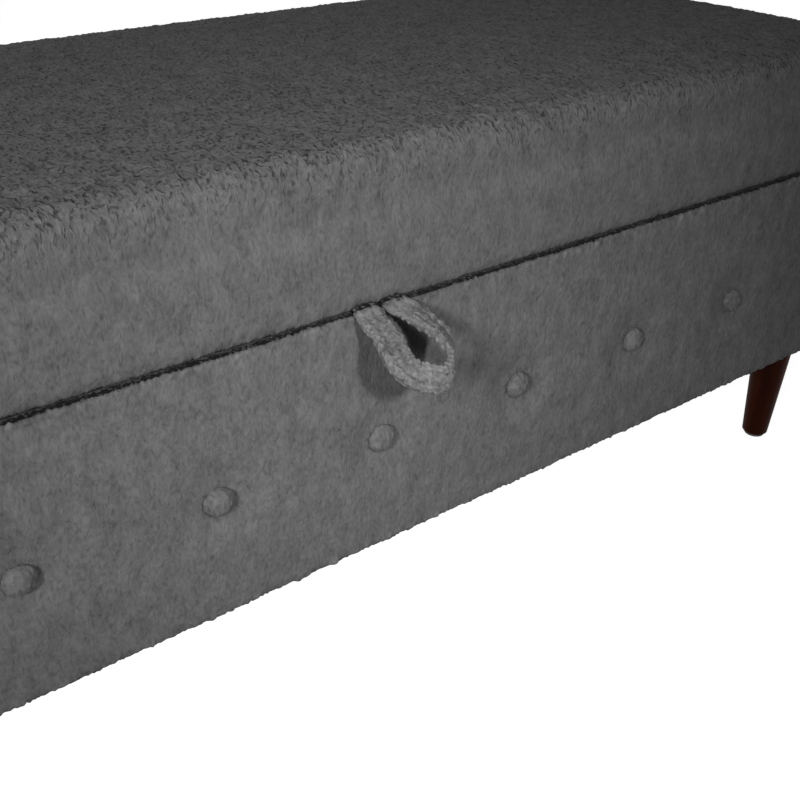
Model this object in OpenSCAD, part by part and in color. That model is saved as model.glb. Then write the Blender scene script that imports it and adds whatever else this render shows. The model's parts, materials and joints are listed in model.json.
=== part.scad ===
// Upholstered storage ottoman: a padded box on four turned legs, with a hinged cushion lid.
// Origin: on the floor, under the middle of the box. +Z is up, and the buttoned front faces -Y.

/* [Overall] */
// Width of the padded box and of the lid
body_w = 1180; // [900:10:1400]
// Depth of the padded box and of the lid
body_d = 460; // [400:5:560]
// Height of the padded box, from its underside to its rim
box_h = 210; // [185:5:280]
// Height of the legs, with their glides
leg_h = 125; // [90:5:180]
// Radius of the upright corners, seen from above
corner_r = 30; // [20:1:40]
// Radius of the soft edges along the seam and the underside
edge_r = 8; // [6:0.5:10]

/* [Frame] */
// Thickness of the four wall panels
panel_t = 12; // [9:1:18]
// Thickness of the bottom board
floor_t = 12; // [12:1:18]
// Side of the triangular glue blocks in the corners
block_leg = 28; // [20:1:36]
// Height of the glue blocks
block_h = 110; // [80:5:120]

/* [Upholstery] */
// Thickness of the pile fabric
cover_t = 3; // [2:0.5:4]
// Thickness of the foam on the walls
foam_t = 10; // [10:1:16]
// Width of the fabric folded under the box
wrap_w = 62; // [60:1:75]
// Height of the fabric folded over the rim, down the inside
return_h = 28; // [15:1:32]
// Thickness of the lining cloth
lining_t = 2; // [1:0.5:3]
// Thickness of the padded mat on the bottom of the box
mat_t = 3; // [3:0.5:5]
// Thickness of the dust cover under the box
dust_t = 1; // [0.5:0.5:2]

/* [Buttons] */
// Number of buttons along the front
button_n = 7; // [3:1:8]
// Distance from one button to the next
button_pitch = 135; // [110:1:140]
// Height of the row of buttons above the underside of the box
button_z = 101; // [80:1:110]
// Radius of a button
button_r = 11.5; // [9:0.5:14]
// Height of a button's rim
button_rim = 3; // [2:0.5:4]
// Rise of a button's dome above its rim
button_dome = 4; // [3:0.5:5]
// Depth of the dimple round a button
dimple_depth = 4; // [3:0.5:6]
// Radius at which the dimple runs out into the flat front
dimple_r = 30; // [24:1:40]
// Radius of the twine that pulls a button in
twine_r = 1; // [0.75:0.25:1.5]
// Radius of the washer behind the panel
washer_r = 9; // [7:0.5:12]
// Thickness of that washer
washer_t = 1.5; // [1:0.25:2]
// Radius of the knot that holds the twine behind the washer
knot_r = 2.5; // [2.5:0.5:4]

/* [Lid] */
// Height of the lid at its edge
lid_h = 114; // [90:2:130]
// Rise of the seat above that edge, in the middle
lid_crown = 8; // [4:1:14]
// Radius of the rounded top edge
lid_edge_r = 24; // [18:1:32]
// How far the sides draw in towards the seam and the top
lid_draw = 2; // [1:0.5:4]
// Thickness of the lid board
board_t = 12; // [12:1:18]
// Distance of the board's edge from the outside of the lid
board_inset = 12; // [12:1:16]
// Width of the fabric folded under the board
lid_wrap_w = 50; // [46:1:52]
// Gap between the rim and the closed lid
seam_gap = 0.6; // [0.4:0.1:1]

/* [Legs] */
// Radius of a leg at the top
leg_top_r = 21; // [18:0.5:23]
// Radius of a leg at the foot
leg_foot_r = 14; // [12:0.5:17]
// Distance of a leg's centre from each outer face
leg_inset = 37; // [37:1:38]
// Radius of a glide
glide_r = 11; // [8:0.5:11.5]
// Thickness of a glide
glide_t = 3; // [2:0.5:5]
// Radius of a glide's nail
nail_r = 1.25; // [1:0.25:2]
// Length of a glide's nail
nail_len = 14; // [10:1:20]
// Radius of a hanger bolt
bolt_r = 4; // [3:0.5:4]
// Depth of a hanger bolt in its leg
bolt_depth = 35; // [25:1:45]
// Radius of a T-nut's barrel
tnut_r = 5.5; // [5:0.25:6]
// Length of a T-nut's barrel
tnut_len = 10; // [8:1:11]
// Radius of a T-nut's flange
tnut_flange_r = 11; // [9:0.5:11.5]
// Thickness of a T-nut's flange
tnut_flange_t = 1.5; // [1:0.25:2]

/* [Hinges] */
// Number of hinges
hinge_n = 3; // [2:1:4]
// Distance from one hinge to the next
hinge_pitch = 400; // [250:10:420]
// Length of a hinge, along its pin
hinge_len = 60; // [50:1:80]
// Width of a hinge leaf, from the pin's axis
leaf_w = 27; // [26:0.5:32]
// Thickness of a hinge leaf
leaf_t = 1.2; // [1:0.1:1.5]
// Radius of a hinge barrel
barrel_r = 3; // [2.5:0.1:3.1]
// Radius of a hinge pin
pin_r = 1.5; // [1.25:0.05:1.6]

/* [Lid stays] */
// Angle to which the lid opens
lid_open = 90; // [80:1:95]
// Distance of a stay's pivot below the hinge axis
stay_drop = 12; // [11:0.5:14]
// Distance from a stay's pivot to its stud with the lid closed
stay_short = 20; // [19:0.5:24]
// Width of a stay arm
arm_w = 18; // [16:0.5:20]
// Thickness of a stay arm
arm_t = 2; // [1.5:0.25:2.5]
// Radius of a stay's stud and of its rivet
stud_r = 3; // [2.5:0.25:3.5]
// Thickness of the wall plate
plate_t = 2; // [1.5:0.25:3]
// Thickness of the lid bracket
bracket_t = 1.5; // [1.25:0.25:2.5]
// Width of the lid bracket's upper leaf
bracket_w = 30; // [28:1:34]
// Half the length of the lid bracket
bracket_half = 20; // [18:1:24]

/* [Pull loop] */
// Slope of the loop below level, as it lies
loop_slope = 25; // [15:1:35]
// Width of the strap
loop_w = 20; // [16:1:22]
// Thickness of the strap
loop_t = 9; // [7:0.5:10]
// Thickness of the strap where it leaves the seam
root_t = 5.5; // [4:0.5:6]
// How far the strap's broad side turns on the way round
loop_turn = 50; // [0:5:60]
// Length of the strap's ends under the lid
tail_len = 44; // [36:1:46]

/* [Fasteners] */
// Radius of the wood screws' shanks
screw_r = 1.75; // [1.5:0.05:2]
// Radius of the countersunk heads
head_r = 3.5; // [3:0.25:4]
// Length of the frame screws
frame_screw_len = 42; // [35:1:50]
// Length of the hinge screws in the back panel
hinge_screw_len = 25; // [18:1:30]
// Length of the screws into the lid board
lid_screw_len = 12; // [9:0.5:13]
// Length of the screws of the stay plates
plate_screw_len = 12; // [8:0.5:12]
// Height of the raised heads of the bracket screws
pan_h = 1.5; // [1:0.25:2.5]
// Width of a staple
staple_w = 10; // [8:1:12]
// Thickness of staple wire
staple_wire = 0.8; // [0.6:0.1:1]
// Length of a staple's legs
staple_len = 9; // [8:1:12]
// Distance from one staple to the next, at most
staple_pitch = 140; // [90:10:200]

/* [Clearances] */
// Radial running clearance of pins and rivets
run_clear = 0.05; // [0.03:0.01:0.08]
// Radial clearance of a stud in its slot
slot_clear = 0.3; // [0.2:0.05:0.4]
// Gap between hinge knuckles
knuckle_gap = 0.3; // [0.2:0.05:0.5]
// Gap beside a stay arm
arm_gap = 0.5; // [0.3:0.1:0.7]
// Gap between an open stay's travel and the mat, with the lid closed
stay_floor_gap = 3; // [2:0.5:6]
// Radial clearance of a hanger bolt in fabric and board
bolt_clear = 0.2; // [0.1:0.05:0.3]
// Clearance between the loop and the ends under the lid
root_clear = 0.3; // [0.2:0.05:0.4]

/* [Hidden] */
$fn = 48;

fabric = [0.36, 0.36, 0.365];
fabric_top = [0.30, 0.30, 0.305];
loop_fabric = [0.42, 0.42, 0.425];
foam_colour = [0.93, 0.88, 0.72];
plywood = [0.76, 0.62, 0.44];
lining_colour = [0.10, 0.10, 0.11];
dark_wood = [0.16, 0.07, 0.03];
zinc = [0.70, 0.70, 0.72];
twine_colour = [0.80, 0.78, 0.72];
eps = 1;

// Depth of each layer of a wall, from the outer face
foam_at = cover_t;
panel_at = foam_at + foam_t;
inside_at = panel_at + panel_t;
room_at = inside_at + lining_t;
mid_panel = panel_at + panel_t / 2;

// Levels of the box
box_z = leg_h;
floor_z = box_z + cover_t;
mat_z = floor_z + floor_t;
room_z = mat_z + mat_t;
rim_z = box_z + box_h;
panel_top = rim_z - cover_t;
button_at = box_z + button_z;

// Levels of the lid
axis_z = rim_z + seam_gap / 2;
lid_z = rim_z + seam_gap;
board_z = lid_z + cover_t;
board_top = board_z + board_t;
axis_y = body_d / 2;

// The stay's pivot and stud lie on one circle round the hinge axis, so the arm turns half as far as the lid
slot_r = stud_r + slot_clear;
arm_tail = arm_w / 2;
half_open = lid_open / 2;
stay_long = axis_z - stay_drop - room_z - stay_floor_gap - arm_tail;
stay_chord = (stay_long - stay_short * cos(half_open)) / (2 * sin(half_open));
stay_r = sqrt(pow(stay_chord, 2) + pow(stay_short / 2, 2));
stay_lead = asin(stay_drop / stay_r);
stay_step = 2 * asin(stay_short / (2 * stay_r));
pivot_y = axis_y - stay_r * cos(stay_lead);
pivot_z = axis_z - stay_drop;
stud_y = axis_y - stay_r * cos(stay_lead + stay_step);
stud_z = axis_z - stay_r * sin(stay_lead + stay_step);
arm_angle = atan2(stud_z - pivot_z, stud_y - pivot_y);
rivet_head_r = 5;
rivet_head_t = 1.2;
stud_head_r = 6;
stud_head_t = 1.5;
plate_up = 10;
plate_down = 24;
plate_half = 14;
plate_screw_y = 8;
plate_screw_z = 16;
bracket_screw_y = 12;

// Depths of the stay's layers from the side's outer face
plate_in = room_at + plate_t;
arm_at = plate_in + arm_gap;
arm_in = arm_at + arm_t;
ear_at = arm_in + arm_gap;
ear_in = ear_at + bracket_t;
leaf_in = ear_at + bracket_w;
bracket_screw_at = leaf_in - head_r - bracket_t;

function spread(n, pitch) = [for (i = [0:n - 1]) (i - (n - 1) / 2) * pitch];
function along(length) = spread(max(2, ceil(length / staple_pitch)), length / max(2, ceil(length / staple_pitch)));

// Rounded outline of the box or lid, drawn in by a distance
module plan(inset) {
    w = body_w - 2 * inset;
    d = body_d - 2 * inset;
    r = corner_r - inset;
    union() {
        square([w - 2 * r, d], center = true);
        square([w, d - 2 * r], center = true);
        for (x = [-1, 1], y = [-1, 1])
            translate([x * (w / 2 - r), y * (d / 2 - r)])
                circle(r);
    }
}

module slab(inset, z0, z1) {
    translate([0, 0, z0])
        linear_extrude(z1 - z0)
            plan(inset);
}

// Square-cornered block between two levels
module block(inset, z0, z1) {
    translate([inset - body_w / 2, inset - body_d / 2, z0])
        cube([body_w - 2 * inset, body_d - 2 * inset, z1 - z0]);
}

// Section of a soft side, from a corner's centre out to the face
module edge_section(h) {
    union() {
        square([corner_r - edge_r, h]);
        translate([0, edge_r])
            square([corner_r, h - 2 * edge_r]);
        for (z = [edge_r, h - edge_r])
            translate([corner_r - edge_r, z])
                circle(edge_r);
    }
}

// The padded box's outer form, with round upright corners and soft upper and lower edges
module soft_box(z0, h) {
    long = body_w - 2 * corner_r;
    deep = body_d - 2 * corner_r;
    translate([0, 0, z0])
        union() {
            translate([-long / 2, -deep / 2, 0])
                cube([long, deep, h]);
            for (turn = [0, 180])
                rotate([0, 0, turn]) {
                    translate([long / 2, deep / 2, 0])
                        rotate([90, 0, 0])
                            linear_extrude(deep)
                                edge_section(h);
                    translate([-long / 2, deep / 2, 0])
                        rotate([90, 0, 90])
                            linear_extrude(long)
                                edge_section(h);
                    translate([long / 2, deep / 2, 0])
                        rotate_extrude(angle = 90)
                            edge_section(h);
                    translate([-long / 2, deep / 2, 0])
                        rotate([0, 0, 90])
                            rotate_extrude(angle = 90)
                                edge_section(h);
                }
        }
}

// One side's share of the box, cut off along the corners' diagonals
module share(name) {
    far = body_d / 2 + eps;
    out_x = body_w / 2 + eps;
    ridge = body_w / 2 - body_d / 2;
    front = [[-out_x, -far], [out_x, -far], [ridge, 0], [-ridge, 0]];
    left = [[-out_x, -far], [-ridge, 0], [-out_x, far]];
    points = name == "front" || name == "back" ? front : left;
    flip = name == "back" ? [0, 1, 0] : name == "right" ? [1, 0, 0] : [0, 0, 1];
    intersection() {
        children();
        mirror(flip)
            translate([0, 0, name == "front" || name == "left" ? -2 * rim_z : 0])
                linear_extrude(2 * rim_z)
                    polygon(points);
    }
}

// Wood screw along -Z, its countersunk head flush with z = 0
module csk_screw(length) {
    union() {
        cylinder(h = length, r = screw_r);
        cylinder(h = head_r - screw_r, r1 = head_r, r2 = screw_r);
    }
}

// Wood screw with a raised head below z = 0
module pan_screw(length) {
    union() {
        cylinder(h = length, r = screw_r);
        translate([0, 0, -pan_h])
            cylinder(h = pan_h, r = head_r);
    }
}

// Places on the frame

module at_legs() {
    for (x = [-1, 1], y = [-1, 1])
        translate([x * (body_w / 2 - leg_inset), y * (body_d / 2 - leg_inset), 0])
            children();
}

module at_buttons() {
    for (x = spread(button_n, button_pitch))
        translate([x, -body_d / 2, button_at])
            rotate([-90, 0, 0])
                children();
}

module at_hinges() {
    for (x = spread(hinge_n, hinge_pitch))
        translate([x, axis_y, axis_z])
            children();
}

module both_sides() {
    for (m = [0, 1])
        mirror([m, 0, 0])
            children();
}

// Frame of plywood panels

module corner_screw_set() {
    heights = [mat_z + 30, (mat_z + panel_top) / 2, panel_top - 30];
    for (m = [0, 1], n = [0, 1])
        mirror([m, 0, 0])
            mirror([0, n, 0])
                for (z = heights)
                    translate([body_w / 2 - mid_panel, panel_at - body_d / 2, z])
                        rotate([-90, 0, 0])
                            csk_screw(frame_screw_len);
}

module floor_screw_set() {
    long_run = body_w - 2 * leg_inset - 120;
    short_run = body_d - 2 * leg_inset - 120;
    for (x = spread(5, long_run / 4), y = [-1, 1])
        translate([x, y * (body_d / 2 - mid_panel), floor_z])
            csk_screw(frame_screw_len);
    for (x = [-1, 1], y = spread(2, short_run))
        translate([x * (body_w / 2 - mid_panel), y, floor_z])
            csk_screw(frame_screw_len);
}

module long_panel() {
    translate([panel_at - body_w / 2, panel_at - body_d / 2, mat_z])
        cube([body_w - 2 * panel_at, panel_t, panel_top - mat_z]);
}

module front_panel() {
    color(plywood)
        difference() {
            long_panel();
            corner_screw_set();
            floor_screw_set();
            at_buttons() {
                cylinder(h = inside_at + eps, r = twine_r);
                translate([0, 0, inside_at - 2 * washer_t])
                    cylinder(h = 2 * washer_t + eps, r = washer_r);
            }
        }
}

module back_panel() {
    color(plywood)
        difference() {
            mirror([0, 1, 0])
                long_panel();
            corner_screw_set();
            floor_screw_set();
            hinge_base_screw_set();
        }
}

module short_panel() {
    translate([panel_at - body_w / 2, inside_at - body_d / 2, mat_z])
        cube([panel_t, body_d - 2 * inside_at, panel_top - mat_z]);
}

module left_panel() {
    color(plywood)
        difference() {
            short_panel();
            corner_screw_set();
            floor_screw_set();
            plate_screw_set();
        }
}

module right_panel() {
    color(plywood)
        mirror([1, 0, 0])
            difference() {
                short_panel();
                corner_screw_set();
                floor_screw_set();
                plate_screw_set();
            }
}

module floor_panel() {
    color(plywood)
        difference() {
            block(panel_at, floor_z, mat_z);
            floor_screw_set();
            staple_set();
            at_legs() {
                translate([0, 0, mat_z - tnut_len])
                    cylinder(h = tnut_len + eps, r = tnut_r);
                translate([0, 0, floor_z - eps])
                    cylinder(h = floor_t, r = bolt_r + bolt_clear);
            }
        }
}

module glue_blocks() {
    corner_x = body_w / 2 - inside_at;
    corner_y = body_d / 2 - inside_at;
    top = rim_z - return_h - cover_t;
    color(plywood)
        for (m = [0, 1], n = [0, 1])
            mirror([m, 0, 0])
                mirror([0, n, 0])
                    translate([corner_x, corner_y, top - block_h])
                        linear_extrude(block_h)
                            polygon([[0, 0], [-block_leg, 0], [0, -block_leg]]);
}

module corner_screws() {
    color(zinc)
        corner_screw_set();
}

module floor_screws() {
    color(zinc)
        floor_screw_set();
}

// Foam on the walls, with a hollow under each dimple

module dimple(inset) {
    steps = 7;
    run = dimple_r - button_r;
    slope = [for (k = [0:steps])
        [button_r + run * k / steps, inset + dimple_depth * (1 + cos(180 * k / steps)) / 2]];
    rotate_extrude()
        polygon(concat([[0, inset - eps], [0, inset + dimple_depth]], slope, [[dimple_r, inset - eps]]));
}

module foam_ring() {
    difference() {
        slab(foam_at, floor_z, panel_top);
        block(panel_at, floor_z - eps, panel_top + eps);
    }
}

module front_foam() {
    color(foam_colour)
        difference() {
            share("front")
                foam_ring();
            at_buttons() {
                dimple(cover_t);
                cylinder(h = panel_at + eps, r = twine_r);
            }
        }
}

module back_foam() {
    color(foam_colour)
        share("back")
            foam_ring();
}

module left_foam() {
    color(foam_colour)
        share("left")
            foam_ring();
}

module right_foam() {
    color(foam_colour)
        share("right")
            foam_ring();
}

// Pile fabric over the box: outside, over the rim, down the inside and under the bottom

module box_skin() {
    difference() {
        union() {
            difference() {
                soft_box(box_z, box_h);
                slab(foam_at, floor_z, panel_top);
                block(room_at, floor_z, rim_z + eps);
            }
            difference() {
                block(inside_at, rim_z - return_h, panel_top);
                block(room_at, box_z, rim_z + eps);
            }
        }
        block(wrap_w, box_z - eps, floor_z + eps);
        at_legs()
            cylinder(h = rim_z, r = bolt_r + bolt_clear);
        staple_set();
    }
}

module front_cover() {
    color(fabric)
        difference() {
            union() {
                share("front")
                    box_skin();
                at_buttons()
                    difference() {
                        dimple(cover_t);
                        cylinder(h = cover_t, r = dimple_r + eps);
                    }
            }
            at_buttons() {
                dimple(0);
                cylinder(h = panel_at + eps, r = twine_r);
            }
        }
}

module back_cover() {
    color(fabric)
        difference() {
            share("back")
                box_skin();
            leaf_recess(-1);
            hinge_base_screw_set();
        }
}

module left_cover() {
    color(fabric)
        share("left")
            box_skin();
}

module right_cover() {
    color(fabric)
        share("right")
            box_skin();
}

// Buttons, each pulled in by twine that is tied off over a washer behind the panel

module tuft_buttons() {
    dome_r = (pow(button_r, 2) + pow(button_dome, 2)) / (2 * button_dome);
    color(fabric)
        at_buttons()
            translate([0, 0, dimple_depth])
                mirror([0, 0, 1])
                    union() {
                        cylinder(h = button_rim, r = button_r);
                        intersection() {
                            translate([0, 0, button_rim + button_dome - dome_r])
                                sphere(dome_r);
                            translate([0, 0, button_rim])
                                cylinder(h = button_dome, r = button_r);
                        }
                    }
}

module button_twines() {
    knot_t = washer_t;
    color(twine_colour)
        at_buttons()
            union() {
                translate([0, 0, dimple_depth])
                    cylinder(h = inside_at - dimple_depth, r = twine_r);
                translate([0, 0, inside_at - knot_t])
                    cylinder(h = knot_t, r = knot_r);
            }
}

module button_washers() {
    color(zinc)
        at_buttons()
            translate([0, 0, inside_at - 2 * washer_t])
                difference() {
                    cylinder(h = washer_t, r = washer_r);
                    translate([0, 0, -eps])
                        cylinder(h = washer_t + 2 * eps, r = twine_r);
                }
}

// Lining

module lining_outline(inset, leg) {
    x = body_w / 2 - inset;
    y = body_d / 2 - inset;
    polygon([[x, y - leg], [x - leg, y], [leg - x, y], [-x, y - leg],
        [-x, leg - y], [leg - x, -y], [x - leg, -y], [x, leg - y]]);
}

module wall_lining() {
    inner_leg = block_leg + (sqrt(2) - 2) * lining_t;
    top = rim_z - return_h;
    color(lining_colour)
        difference() {
            translate([0, 0, room_z])
                linear_extrude(top - room_z)
                    difference() {
                        lining_outline(inside_at, block_leg);
                        lining_outline(room_at, inner_leg);
                    }
            both_sides()
                plate_screw_set();
        }
}

module floor_mat() {
    color(lining_colour)
        difference() {
            block(inside_at, mat_z, room_z);
            at_legs()
                translate([0, 0, mat_z - eps])
                    cylinder(h = tnut_flange_t + eps, r = tnut_flange_r);
        }
}

module dust_cover() {
    color(lining_colour)
        difference() {
            block(wrap_w, floor_z - dust_t, floor_z);
            staple_set();
        }
}

module staple(length) {
    translate([-staple_w / 2, -staple_wire / 2, -staple_wire])
        cube([staple_w, staple_wire, staple_wire]);
    for (x = [-1, 1])
        translate([x * (staple_w - staple_wire) / 2 - staple_wire / 2, -staple_wire / 2, -staple_wire / 2])
            cube([staple_wire, staple_wire, length]);
}

// Two rows of staples round the underside: one in the folded fabric, one in the dust cover
module staple_set() {
    for (row = [[wrap_w - 10, box_z, cover_t], [wrap_w + 8, floor_z - dust_t, dust_t]]) {
        long = body_w - 2 * row[0] - 60;
        deep = body_d - 2 * row[0] - 60;
        length = staple_len + row[2];
        for (x = along(long), y = [-1, 1])
            translate([x, y * (body_d / 2 - row[0]), row[1]])
                staple(length - cover_t);
        for (x = [-1, 1], y = along(deep))
            translate([x * (body_w / 2 - row[0]), y, row[1]])
                rotate([0, 0, 90])
                    staple(length - cover_t);
    }
}

module underside_staples() {
    color(zinc)
        staple_set();
}

// Turned legs, held by hanger bolts in T-nuts

module leg() {
    edge = 1.5;
    color(dark_wood)
        difference() {
            rotate_extrude()
                polygon([
                    [0, glide_t], [leg_foot_r - edge, glide_t], [leg_foot_r, glide_t + edge],
                    [leg_top_r, leg_h - edge], [leg_top_r - edge, leg_h], [0, leg_h]
                ]);
            translate([0, 0, leg_h - bolt_depth])
                cylinder(h = bolt_depth + eps, r = bolt_r);
            translate([0, 0, glide_t - eps])
                cylinder(h = nail_len + eps, r = nail_r);
        }
}

module place_leg(x, y) {
    translate([x * (body_w / 2 - leg_inset), y * (body_d / 2 - leg_inset), 0])
        leg();
}

module leg_front_left() {
    place_leg(-1, -1);
}

module leg_front_right() {
    place_leg(1, -1);
}

module leg_back_left() {
    place_leg(-1, 1);
}

module leg_back_right() {
    place_leg(1, 1);
}

module leg_glides() {
    color(lining_colour)
        at_legs()
            union() {
                cylinder(h = glide_t, r = glide_r);
                cylinder(h = glide_t + nail_len, r = nail_r);
            }
}

module hanger_bolts() {
    top = mat_z + tnut_flange_t;
    color(zinc)
        at_legs()
            translate([0, 0, leg_h - bolt_depth])
                cylinder(h = top - leg_h + bolt_depth, r = bolt_r);
}

module t_nuts() {
    color(zinc)
        at_legs()
            difference() {
                union() {
                    translate([0, 0, mat_z - tnut_len])
                        cylinder(h = tnut_len, r = tnut_r);
                    translate([0, 0, mat_z])
                        cylinder(h = tnut_flange_t, r = tnut_flange_r);
                }
                translate([0, 0, floor_z])
                    cylinder(h = floor_t + mat_t, r = bolt_r);
            }
}

// Hinges: one leaf in the rim, one in the lid, five knuckles round a pin

knuckle_n = 5;
knuckle_len = hinge_len / knuckle_n;
leaf_screw_x = hinge_len / 3;
leaf_screw_y = mid_panel;

module knuckles(first) {
    for (i = [first:2:knuckle_n - 1])
        translate([i * knuckle_len - hinge_len / 2 + knuckle_gap / 2, 0, 0])
            rotate([0, 90, 0])
                cylinder(h = knuckle_len - knuckle_gap, r = barrel_r);
}

// Room for the other leaf's knuckles
module knuckle_room(first) {
    for (i = [first:2:knuckle_n - 1])
        translate([i * knuckle_len - hinge_len / 2 - knuckle_gap / 2, 0, 0])
            rotate([0, 90, 0])
                cylinder(h = knuckle_len + knuckle_gap, r = barrel_r + knuckle_gap);
}

// Leaf below (side -1) or above (side 1) the seam
module hinge_leaf(side, first) {
    low = side < 0 ? -seam_gap / 2 - leaf_t : seam_gap / 2;
    difference() {
        union() {
            translate([-hinge_len / 2, -leaf_w, low])
                cube([hinge_len, leaf_w, leaf_t]);
            knuckles(first);
        }
        knuckle_room(1 - first);
        translate([-hinge_len / 2 - eps, 0, 0])
            rotate([0, 90, 0])
                cylinder(h = hinge_len + 2 * eps, r = pin_r + run_clear);
        leaf_screws(side, hinge_screw_len);
    }
}

module leaf_screws(side, length) {
    for (x = [-leaf_screw_x, 0, leaf_screw_x])
        translate([x, -leaf_screw_y, side * seam_gap / 2])
            rotate([side < 0 ? 180 : 0, 0, 0])
                csk_screw(length);
}

module leaf_recess(side) {
    low = side < 0 ? -seam_gap / 2 - leaf_t : seam_gap / 2 - eps;
    at_hinges()
        translate([-hinge_len / 2, -leaf_w, low])
            cube([hinge_len, leaf_w + eps, leaf_t + eps]);
}

module hinge_base_screw_set() {
    at_hinges()
        leaf_screws(-1, hinge_screw_len);
}

module hinge_base_leaves() {
    color(zinc)
        at_hinges()
            hinge_leaf(-1, 0);
}

module hinge_lid_leaves() {
    color(zinc)
        at_hinges()
            hinge_leaf(1, 1);
}

module hinge_pins() {
    color(zinc)
        at_hinges()
            translate([-hinge_len / 2, 0, 0])
                rotate([0, 90, 0])
                    cylinder(h = hinge_len, r = pin_r);
}

module hinge_base_screws() {
    color(zinc)
        hinge_base_screw_set();
}

module hinge_lid_screws() {
    color(zinc)
        at_hinges()
            leaf_screws(1, lid_screw_len);
}

// Lid stays: a slotted arm on each side, pivoted on the lid and riding on a stud on the wall

module plate_screw_set() {
    for (y = [-1, 1])
        translate([plate_in - body_w / 2, stud_y + y * plate_screw_y, stud_z - plate_screw_z])
            rotate([0, -90, 0])
                csk_screw(plate_screw_len);
}

module stay_wall_plates() {
    color(zinc)
        both_sides()
            difference() {
                translate([room_at - body_w / 2, stud_y - plate_half, stud_z - plate_down])
                    cube([plate_t, 2 * plate_half, plate_up + plate_down]);
                plate_screw_set();
                translate([-body_w / 2, stud_y, stud_z])
                    rotate([0, 90, 0])
                        cylinder(h = plate_in + eps, r = stud_r);
            }
}

module stay_studs() {
    color(zinc)
        both_sides()
            translate([-body_w / 2, stud_y, stud_z])
                rotate([0, 90, 0])
                    union() {
                        translate([0, 0, room_at])
                            cylinder(h = ear_at - room_at, r = stud_r);
                        translate([0, 0, ear_at])
                            cylinder(h = stud_head_t, r = stud_head_r);
                    }
}

module stay_plate_screws() {
    color(zinc)
        both_sides()
            plate_screw_set();
}

module bracket_screw_set() {
    for (y = [-1, 1])
        translate([bracket_screw_at - body_w / 2, pivot_y + y * bracket_screw_y, lid_z - bracket_t])
            pan_screw(lid_screw_len);
}

module stay_lid_brackets() {
    color(zinc)
        both_sides()
            difference() {
                union() {
                    translate([ear_at - body_w / 2, pivot_y - bracket_half, lid_z - bracket_t])
                        cube([bracket_w, 2 * bracket_half, bracket_t]);
                    translate([ear_at - body_w / 2, pivot_y - arm_w / 2, pivot_z])
                        cube([bracket_t, arm_w, lid_z - pivot_z]);
                    translate([ear_at - body_w / 2, pivot_y, pivot_z])
                        rotate([0, 90, 0])
                            cylinder(h = bracket_t, r = arm_w / 2);
                }
                translate([-body_w / 2, pivot_y, pivot_z])
                    rotate([0, 90, 0])
                        cylinder(h = ear_in + eps, r = stud_r);
                bracket_screw_set();
            }
}

module stay_rivets() {
    color(zinc)
        both_sides()
            translate([-body_w / 2, pivot_y, pivot_z])
                rotate([0, 90, 0])
                    union() {
                        translate([0, 0, arm_at - rivet_head_t - run_clear])
                            cylinder(h = rivet_head_t, r = rivet_head_r);
                        translate([0, 0, arm_at - rivet_head_t])
                            cylinder(h = ear_in - arm_at + 2 * rivet_head_t, r = stud_r);
                        translate([0, 0, ear_in])
                            cylinder(h = rivet_head_t, r = rivet_head_r);
                    }
}

module stay_bracket_screws() {
    color(zinc)
        both_sides()
            bracket_screw_set();
}

module stay_arm() {
    translate([arm_at - body_w / 2, pivot_y, pivot_z])
        rotate([90, 0, 90])
            rotate([0, 0, arm_angle])
                difference() {
                    union() {
                        cylinder(h = arm_t, r = arm_w / 2);
                        translate([0, -arm_w / 2, 0])
                            cube([stay_long, arm_w, arm_t]);
                        translate([stay_long, 0, 0])
                            cylinder(h = arm_t, r = arm_tail);
                    }
                    translate([0, 0, -eps])
                        cylinder(h = arm_t + 2 * eps, r = stud_r + run_clear);
                    translate([stay_short, -slot_r, -eps])
                        cube([stay_long - stay_short, 2 * slot_r, arm_t + 2 * eps]);
                    for (s = [stay_short, stay_long])
                        translate([s, 0, -eps])
                            cylinder(h = arm_t + 2 * eps, r = slot_r);
                }
}

module stay_arm_left() {
    color(zinc)
        stay_arm();
}

module stay_arm_right() {
    color(zinc)
        mirror([1, 0, 0])
            stay_arm();
}

// Lid: a board with moulded foam on it, and pile fabric drawn over both

corner_steps = 6;
ring_n = 4 * (corner_steps + 1);

// Outline points drawn in by a distance, at a share of full size, at one level
function ring(inset, z, share) =
    let (a = body_w / 2 - inset, b = body_d / 2 - inset, r = max(corner_r - inset, 3))
    [for (q = [0:3], k = [0:corner_steps])
        let (turn = 90 * q + 90 * k / corner_steps,
            cx = (q == 0 || q == 3 ? 1 : -1) * (a - r),
            cy = (q < 2 ? 1 : -1) * (b - r))
        [share * (cx + r * cos(turn)), share * (cy + r * sin(turn)), z]];

function draw_in(z) = lid_draw * pow(2 * z / lid_h - 1, 2);

// Crown, top edge, sides and seam edge, as [inset, level, share], on a surface below the outer one
function crown_rows(deep) = [for (s = [0.25, 0.5, 0.72, 0.88])
    [lid_edge_r + lid_draw, lid_h + lid_crown * (1 - s * s) - deep, s]];
function top_rows(deep) = [for (a = [84, 63, 42, 21, 0])
    let (z = lid_h - lid_edge_r + (lid_edge_r - deep) * sin(a))
    [lid_edge_r - (lid_edge_r - deep) * cos(a) + draw_in(z), z, 1]];
function side_rows(deep) = [for (z = [0.5 * lid_h, edge_r + 12])
    [deep + draw_in(z), z, 1]];
function seam_rows(deep) = [for (a = [0, 30, 60, 90])
    let (z = edge_r - (edge_r - deep) * sin(a))
    [edge_r - (edge_r - deep) * cos(a) + draw_in(z), z, 1]];
function outer_rows(deep) = concat(crown_rows(deep), top_rows(deep), side_rows(deep), seam_rows(deep));
function backwards(list) = [for (i = [len(list) - 1:-1:0]) list[i]];

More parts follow.
